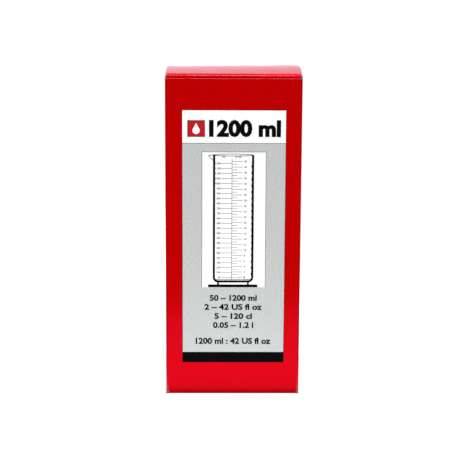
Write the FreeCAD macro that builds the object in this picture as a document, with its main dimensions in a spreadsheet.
import FreeCAD, Part
import os

import Sketcher

# A 1200 ml measuring graduate in its reverse tuck end folding carton.
# The carton stands on z = 0, centred on the z axis, with its front panel towards -Y.
# Driving dimensions are in millimetres and degrees.
SIZES = {
    "carton_width": 127.0,
    "carton_depth": 112.0,
    "carton_height": 305.0,
    "board": 0.6,  # thickness of the folding boxboard
    "layer_gap": 0.15,  # air between two folded layers
    "lid_side_gap": 0.4,  # lid short of the carton's width at each end
    "front_drop": 4.0,  # front panel stops this far below the lid
    "glue_flap_width": 16.0,
    "glue_flap_taper": 8.0,
    "tuck_length": 17.0,
    "tuck_lean": 9.5,  # degrees that a tucked flap leans in from upright
    "tuck_side_gap": 2.2,  # tuck flap short of the carton's width at each end
    "tuck_corner_radius": 12.0,
    "dust_length": 58.0,
    "dust_crease_relief": 3.0,  # dust flap's set-back beside the closure's crease
    "dust_tuck_gap": 2.6,  # dust flap's set-back from the tuck's fold
    "dust_tuck_taper": 6.0,
    "foot_diameter": 103.0,
    "foot_thickness": 4.0,
    "foot_recess_diameter": 88.0,
    "foot_recess_depth": 1.2,
    "foot_edge_radius": 1.4,
    "neck_diameter": 63.0,
    "neck_height": 7.0,
    "bore_diameter": 79.2,
    "tube_wall": 2.4,
    "tube_height": 267.0,
    "tube_floor": 3.2,
    "tube_corner_radius": 9.5,
    "bore_corner_radius": 7.0,
    "rim_bead_width": 1.2,
    "rim_bead_height": 3.0,
    "spout_reach": 54.0,  # from the tube's axis to the lip
    "spout_depth": 12.5,  # it flares at 45 degrees, so this is its radius at the rim too
    "spout_lip": 2.5,  # level width of the lip
    "spout_inset": 0.1,  # spout hollow's axis, this far inside the bore
    "spout_bearing": 225.0,  # degrees from +X, towards the front left corner
    "contents_gap": 0.2,  # air under the graduate's foot
    "cut_overrun": 1.0,  # cutting solids pass this far above the rim
}

# Levels and positions that several pieces share, as sheet formulas.
HALF_BOARD = "Sizes.board / 2"
HALF_WIDTH = "Sizes.carton_width / 2"
HALF_DEPTH = "Sizes.carton_depth / 2"
TOP_CREASE_LEVEL = "Sizes.carton_height - Sizes.board / 2"
BOTTOM_CREASE_LEVEL = "Sizes.board / 2"
TOP_DUST_LEVEL = "Sizes.carton_height - 1.5 * Sizes.board - Sizes.layer_gap"
BOTTOM_DUST_LEVEL = "1.5 * Sizes.board + Sizes.layer_gap"
WALL_MIDDLE_X = "(Sizes.carton_width / 2 - Sizes.board / 2)"
WALL_MIDDLE_Y = "(Sizes.carton_depth / 2 - Sizes.board / 2)"
TUCK_FOLD_Y = "(Sizes.carton_depth / 2 - 1.5 * Sizes.board - Sizes.layer_gap)"
CLOSURE_REACH = "(Sizes.carton_depth - 2.5 * Sizes.board - 2 * Sizes.layer_gap)"
FLAP_START = "(Sizes.board / 2 + Sizes.layer_gap)"
INNER_DEPTH = "(Sizes.carton_depth - 2 * Sizes.board)"
FOOT_LEVEL = "2 * Sizes.board + 2 * Sizes.layer_gap + Sizes.contents_gap"
TUBE_LEVEL = "Sizes.foot_thickness + Sizes.neck_height"
RIM_LEVEL = "(Sizes.foot_thickness + Sizes.neck_height + Sizes.tube_height)"
TUBE_RADIUS = "(Sizes.bore_diameter / 2 + Sizes.tube_wall)"

SAME_SIZE = 0.01  # millimetres by which two equal sizes may differ
NEARLY_ALONG = 0.99  # cosine of a direction that counts as along an axis

X_AXIS = FreeCAD.Vector(1, 0, 0)
Z_AXIS = FreeCAD.Vector(0, 0, 1)


def make_sheet(doc):
    """Put every driving dimension in the document's sheet, under its own alias."""
    sheet = doc.addObject("Spreadsheet::Sheet", "Sizes")
    for row, (name, value) in enumerate(SIZES.items(), start=1):
        sheet.set(f"A{row}", name)
        sheet.set(f"B{row}", str(value))
        sheet.setAlias(f"B{row}", name)
    doc.recompute()
    return sheet


def own_plane(body, role):
    """One of the body's own origin planes or axes."""
    for feature in body.Origin.OriginFeatures:
        if feature.Role == role:
            return feature
    raise ValueError(f"{body.Label} has no {role}")


def add_sketch(body, name, role):
    sketch = body.newObject("Sketcher::SketchObject", name)
    sketch.AttachmentSupport = [(own_plane(body, role), "")]
    sketch.MapMode = "FlatFace"
    return sketch


def add_outline(body, name, role, corners):
    """Sketch a closed outline whose corners are pairs of sheet formulas."""
    sketch = add_sketch(body, name, role)
    places = []
    for across, along in corners:
        place = FreeCAD.Vector(sketch.evalExpression(across), sketch.evalExpression(along), 0)
        places.append(place)
    count = len(corners)
    for index, place in enumerate(places):
        sketch.addGeometry(Part.LineSegment(place, places[(index + 1) % count]))
    for index in range(count):
        sketch.addConstraint(Sketcher.Constraint("Coincident", index, 2, (index + 1) % count, 1))
    for index, (across, along) in enumerate(corners):
        for kind, value, formula in (
            ("DistanceX", places[index].x, across),
            ("DistanceY", places[index].y, along),
        ):
            number = sketch.addConstraint(Sketcher.Constraint(kind, -1, 1, index, 1, value))
            sketch.setExpression(f"Constraints[{number}]", formula)
    return sketch


def add_pad(body, sketch, name, length):
    """Thicken a sketch evenly to both sides of its plane."""
    pad = body.newObject("PartDesign::Pad", name)
    pad.Profile = sketch
    pad.SideType = "Symmetric"
    pad.setExpression("Length", length)
    return pad


def add_crease_bead(body, width):
    """Half-round folded edge of the board, on the crease's axis along the body's X."""
    sketch = add_sketch(body, "BeadSection", "YZ_Plane")
    sketch.addGeometry(Part.Circle(FreeCAD.Vector(0, 0, 0), Z_AXIS, SIZES["board"] / 2))
    sketch.addConstraint(Sketcher.Constraint("Coincident", 0, 3, -1, 1))
    number = sketch.addConstraint(Sketcher.Constraint("Radius", 0, SIZES["board"] / 2))
    sketch.setExpression(f"Constraints[{number}]", HALF_BOARD)
    return add_pad(body, sketch, "Bead", width)


def place(thing, position, turn):
    """Turn a piece about its own origin, then move it; each position is a sheet formula."""
    thing.Placement = FreeCAD.Placement(FreeCAD.Vector(), turn)
    for axis, formula in zip("xyz", position):
        thing.setExpression(f"Placement.Base.{axis}", formula)


def board_piece(doc, label, corners, position, turn):
    """A flat piece of board: X along its crease, Y away from it, Z through its thickness."""
    body = doc.addObject("PartDesign::Body", label)
    outline = add_outline(body, "Outline", "XY_Plane", corners)
    add_pad(body, outline, "Board", "Sizes.board")
    place(body, position, turn)
    return body


def edges_where(shape, test):
    """Names of the edges of a shape that pass a test."""
    names = []
    for index, edge in enumerate(shape.Edges, start=1):
        if test(edge):
            names.append(f"Edge{index}")
    return names


def add_fillet(doc, body, name, test, radius):
    """Round the edges of the body's present shape that pass a test."""
    doc.recompute()
    base = body.Tip
    fillet = body.newObject("PartDesign::Fillet", name)
    fillet.Base = (base, edges_where(base.Shape, test))
    fillet.setExpression("Radius", radius)
    return fillet


def rectangle(half_width, low, high):
    return [
        (f"-({half_width})", low),
        (half_width, low),
        (half_width, high),
        (f"-({half_width})", high),
    ]


def make_walls(doc):
    """The four glued panels that stand round the contents, and the flap that is glued inside."""
    upright = FreeCAD.Rotation(X_AXIS, 90)
    facing_x = FreeCAD.Rotation(Z_AXIS, 90).multiply(upright)
    above_bead = "Sizes.board + Sizes.layer_gap"
    front_top = "Sizes.carton_height - Sizes.front_drop"
    back_top = "Sizes.carton_height - Sizes.board - Sizes.layer_gap"
    side_bottom = "2 * (Sizes.board + Sizes.layer_gap)"
    side_top = f"Sizes.carton_height - {side_bottom}"
    front = rectangle(HALF_WIDTH, above_bead, front_top)
    back = rectangle(HALF_WIDTH, "0", back_top)
    side = rectangle(f"{INNER_DEPTH} / 2", side_bottom, side_top)
    board_piece(doc, "front_panel", front, ("0", f"-{WALL_MIDDLE_Y}", "0"), upright)
    board_piece(doc, "back_panel", back, ("0", WALL_MIDDLE_Y, "0"), upright)
    board_piece(doc, "left_side_panel", side, (f"-{WALL_MIDDLE_X}", "0", "0"), facing_x)
    board_piece(doc, "right_side_panel", side, (WALL_MIDDLE_X, "0", "0"), facing_x)
    make_glue_flap(doc, facing_x)


def make_glue_flap(doc, turn):
    """Narrow flap off the back panel, glued to the inside of the left side panel."""
    seam = f"{INNER_DEPTH} / 2"
    free_edge = f"{seam} - Sizes.glue_flap_width"
    low = "Sizes.tuck_length + Sizes.glue_flap_taper"
    high = f"Sizes.carton_height - {low}"
    corners = [
        (free_edge, f"{low} + Sizes.glue_flap_taper"),
        (seam, low),
        (seam, high),
        (free_edge, f"{high} - Sizes.glue_flap_taper"),
    ]
    inside = "-(Sizes.carton_width / 2 - 1.5 * Sizes.board)"
    board_piece(doc, "glue_flap", corners, (inside, "0", "0"), turn)


def make_closure(doc, end, level, crease_side):
    """Closure panel that covers one end; crease_side is 1 for a crease at the back."""
    half_width = "(Sizes.carton_width / 2 - Sizes.lid_side_gap)"
    reach = f"{CLOSURE_REACH} - {FLAP_START}"
    corners = rectangle(half_width, "0", reach)
    turn = FreeCAD.Rotation(Z_AXIS, 180 if crease_side > 0 else 0)
    crease_y = WALL_MIDDLE_Y if crease_side > 0 else f"-{WALL_MIDDLE_Y}"
    panel = board_piece(doc, f"{end}_closure_panel", corners, ("0", crease_y, level), turn)
    add_crease_bead(panel, f"2 * {half_width}")


def make_tuck_flap(doc, end, level, crease_side):
    """Flap that folds off the closure panel and tucks behind the opposite wall."""
    half_width = f"({HALF_WIDTH} - Sizes.tuck_side_gap)"
    corners = rectangle(half_width, "0", "Sizes.tuck_length")
    lean = 90 - SIZES["tuck_lean"]
    fold = FreeCAD.Rotation(X_AXIS, -lean if crease_side > 0 else lean)
    heading = FreeCAD.Rotation(Z_AXIS, 0 if crease_side > 0 else 180)
    fold_y = f"-{TUCK_FOLD_Y}" if crease_side > 0 else TUCK_FOLD_Y
    turn = heading.multiply(fold)
    flap = board_piece(doc, f"{end}_tuck_flap", corners, ("0", fold_y, level), turn)
    add_crease_bead(flap, f"2 * {half_width}")

    def is_outer_corner(edge):
        through_board = abs(edge.tangentAt(edge.FirstParameter).z) > NEARLY_ALONG
        return through_board and edge.CenterOfMass.y > SIZES["tuck_length"] / 2

    add_fillet(doc, flap, "Corners", is_outer_corner, "Sizes.tuck_corner_radius")


def make_dust_flap(doc, end, side, level, crease_side):
    """Side flap under a closure panel; side is -1 for left and 1 for right."""
    near = f"({INNER_DEPTH} / 2 - Sizes.dust_crease_relief)"
    far = f"({INNER_DEPTH} / 2 - Sizes.dust_tuck_gap)"
    taper_sign = side * crease_side
    length = "Sizes.dust_length"
    crease_edge = [
        (near, "0"),
        (f"{near} - {length}", length),
    ]
    tuck_edge = [
        (f"-({far} - Sizes.dust_tuck_taper)", length),
        (f"-{far}", "0"),
    ]
    corners = crease_edge + tuck_edge
    if taper_sign < 0:
        corners = [(f"-({across})", along) for across, along in reversed(corners)]
    turn = FreeCAD.Rotation(Z_AXIS, 90 * side)
    crease_x = WALL_MIDDLE_X if side > 0 else f"-{WALL_MIDDLE_X}"
    name = f"{end}_{'right' if side > 0 else 'left'}_dust_flap"
    flap = board_piece(doc, name, corners, (crease_x, "0", level), turn)
    bead = add_crease_bead(flap, f"{near} + {far}")
    shift = "(Sizes.dust_tuck_gap - Sizes.dust_crease_relief) / 2"
    bead.Profile[0].setExpression("AttachmentOffset.Base.z", f"{taper_sign} * {shift}")
    return flap


def make_end(doc, end, closure_level, dust_level, crease_side):
    """All four flaps of one end of the carton."""
    make_closure(doc, end, closure_level, crease_side)
    make_tuck_flap(doc, end, closure_level, crease_side)
    for side in (-1, 1):
        make_dust_flap(doc, end, side, dust_level, crease_side)


def turned_body(doc, label, corners):
    """A body of revolution about Z, from an outline of radius and height formulas."""
    body = doc.addObject("PartDesign::Body", label)
    profile = add_outline(body, "Profile", "XZ_Plane", corners)
    turned = body.newObject("PartDesign::Revolution", "Turned")
    turned.Profile = profile
    turned.ReferenceAxis = (own_plane(body, "Z_Axis"), [""])
    turned.Angle = 360
    return body


def ring_at(radius, height):
    """Test for the circular edge of a given radius and height."""

    def test(edge):
        if not isinstance(edge.Curve, Part.Circle):
            return False
        same_radius = abs(edge.Curve.Radius - radius) < SAME_SIZE
        return same_radius and abs(edge.Curve.Center.z - height) < SAME_SIZE

    return test


def make_foot(doc):
    """Round foot with a short neck that the tube is bonded to."""
    foot_radius = "Sizes.foot_diameter / 2"
    recess_radius = "Sizes.foot_recess_diameter / 2"
    neck_radius = "Sizes.neck_diameter / 2"
    corners = [
        ("0", "Sizes.foot_recess_depth"),
        (recess_radius, "Sizes.foot_recess_depth"),
        (recess_radius, "0"),
        (foot_radius, "0"),
        (foot_radius, "Sizes.foot_thickness"),
        (neck_radius, "Sizes.foot_thickness"),
        (neck_radius, TUBE_LEVEL),
        ("0", TUBE_LEVEL),
    ]
    foot = turned_body(doc, "pedestal_foot", corners)
    outer_edge = ring_at(SIZES["foot_diameter"] / 2, SIZES["foot_thickness"])
    add_fillet(doc, foot, "OuterEdge", outer_edge, "Sizes.foot_edge_radius")
    place(foot, ("0", "0", FOOT_LEVEL), FreeCAD.Rotation())
    return foot


def make_tube(doc):
    """The graduate's tube, closed below and open above, still without its spout."""
    bead_radius = f"{TUBE_RADIUS} + Sizes.rim_bead_width"
    corners = [
        ("0", TUBE_LEVEL),
        (TUBE_RADIUS, TUBE_LEVEL),
        (TUBE_RADIUS, f"{RIM_LEVEL} - Sizes.rim_bead_height"),
        (bead_radius, f"{RIM_LEVEL} - Sizes.rim_bead_height + Sizes.rim_bead_width"),
        (bead_radius, RIM_LEVEL),
        ("0", RIM_LEVEL),
    ]
    tube = turned_body(doc, "tube_outside", corners)
    tube_radius = SIZES["bore_diameter"] / 2 + SIZES["tube_wall"]
    tube_level = SIZES["foot_thickness"] + SIZES["neck_height"]
    corner = ring_at(tube_radius, tube_level)
    add_fillet(doc, tube, "LowerCorner", corner, "Sizes.tube_corner_radius")
    return tube


def make_bore(doc):
    """The space inside the tube, a little taller than the tube so that it opens the top."""
    bore_radius = "Sizes.bore_diameter / 2"
    bore_floor = f"{TUBE_LEVEL} + Sizes.tube_floor"
    corners = [
        ("0", bore_floor),
        (bore_radius, bore_floor),
        (bore_radius, f"{RIM_LEVEL} + Sizes.cut_overrun"),
        ("0", f"{RIM_LEVEL} + Sizes.cut_overrun"),
    ]
    bore = turned_body(doc, "tube_inside", corners)
    floor_level = SIZES["foot_thickness"] + SIZES["neck_height"] + SIZES["tube_floor"]
    corner = ring_at(SIZES["bore_diameter"] / 2, floor_level)
    add_fillet(doc, bore, "FloorCorner", corner, "Sizes.bore_corner_radius")
    return bore


def spout_cone(doc, name, axis_radius, rim_radius, overrun):
    """A 45 degree cone, point down beside the tube's axis, that meets the rim's plane."""
    cone = doc.addObject("Part::Cone", name)
    cone.Radius1 = 0
    cone.setExpression("Radius2", f"{rim_radius} + {overrun}")
    cone.setExpression("Height", f"{rim_radius} + {overrun}")
    cone.setExpression("Placement.Base.x", axis_radius)
    cone.setExpression("Placement.Base.z", f"{RIM_LEVEL} - ({rim_radius})")
    return cone


def make_measuring_cylinder(doc):
    """Tube with its pouring spout, hollowed out in one cut each for bore and spout."""
    outer_axis = "Sizes.spout_reach - Sizes.spout_depth"
    inner_axis = "(Sizes.bore_diameter / 2 - Sizes.spout_inset)"
    inner_radius = f"Sizes.spout_reach - Sizes.spout_lip - {inner_axis}"
    outside = doc.addObject("Part::Fuse", "tube_and_spout")
    outside.Base = make_tube(doc)
    outside.Tool = spout_cone(doc, "spout_outside", outer_axis, "Sizes.spout_depth", "0")
    hollowed = doc.addObject("Part::Cut", "tube_with_bore")
    hollowed.Base = outside
    hollowed.Tool = make_bore(doc)
    graduate = doc.addObject("Part::Cut", "measuring_cylinder")
    graduate.Base = hollowed
    graduate.Tool = spout_cone(doc, "spout_inside", inner_axis, inner_radius, "Sizes.cut_overrun")
    bearing = FreeCAD.Rotation(Z_AXIS, SIZES["spout_bearing"])
    place(graduate, ("0", "0", FOOT_LEVEL), bearing)
    return graduate


NODES = (
    "front_panel",
    "back_panel",
    "left_side_panel",
    "right_side_panel",
    "glue_flap",
    "top_closure_panel",
    "top_tuck_flap",
    "top_left_dust_flap",
    "top_right_dust_flap",
    "bottom_closure_panel",
    "bottom_tuck_flap",
    "bottom_left_dust_flap",
    "bottom_right_dust_flap",
    "measuring_cylinder",
    "pedestal_foot",
)


def check_document(doc):
    """Stop on any feature that failed and on any empty or broken sub-part."""
    for thing in doc.Objects:
        if "Invalid" in thing.State or "Error" in thing.State:
            raise RuntimeError(f"{thing.Label} failed: {thing.State}")
    for node in NODES:
        shape = doc.getObjectsByLabel(node)[0].Shape
        if shape.isNull() or not shape.isValid() or len(shape.Solids) != 1:
            raise RuntimeError(f"{node} has no sound solid")


def write_parts(doc):
    os.makedirs("parts", exist_ok=True)
    for node in NODES:
        shape = doc.getObjectsByLabel(node)[0].Shape
        shape.exportStep(f"parts/{node}.step")
        box = shape.BoundBox
        print(f"{node}: {shape.Volume / 1000:.2f} cm3, z {box.ZMin:.2f} to {box.ZMax:.2f}")


def main():
    doc = FreeCAD.newDocument("boxed_graduate")
    make_sheet(doc)
    make_walls(doc)
    make_end(doc, "top", TOP_CREASE_LEVEL, TOP_DUST_LEVEL, 1)
    make_end(doc, "bottom", BOTTOM_CREASE_LEVEL, BOTTOM_DUST_LEVEL, -1)
    make_measuring_cylinder(doc)
    make_foot(doc)
    doc.recompute()
    check_document(doc)
    write_parts(doc)


main()
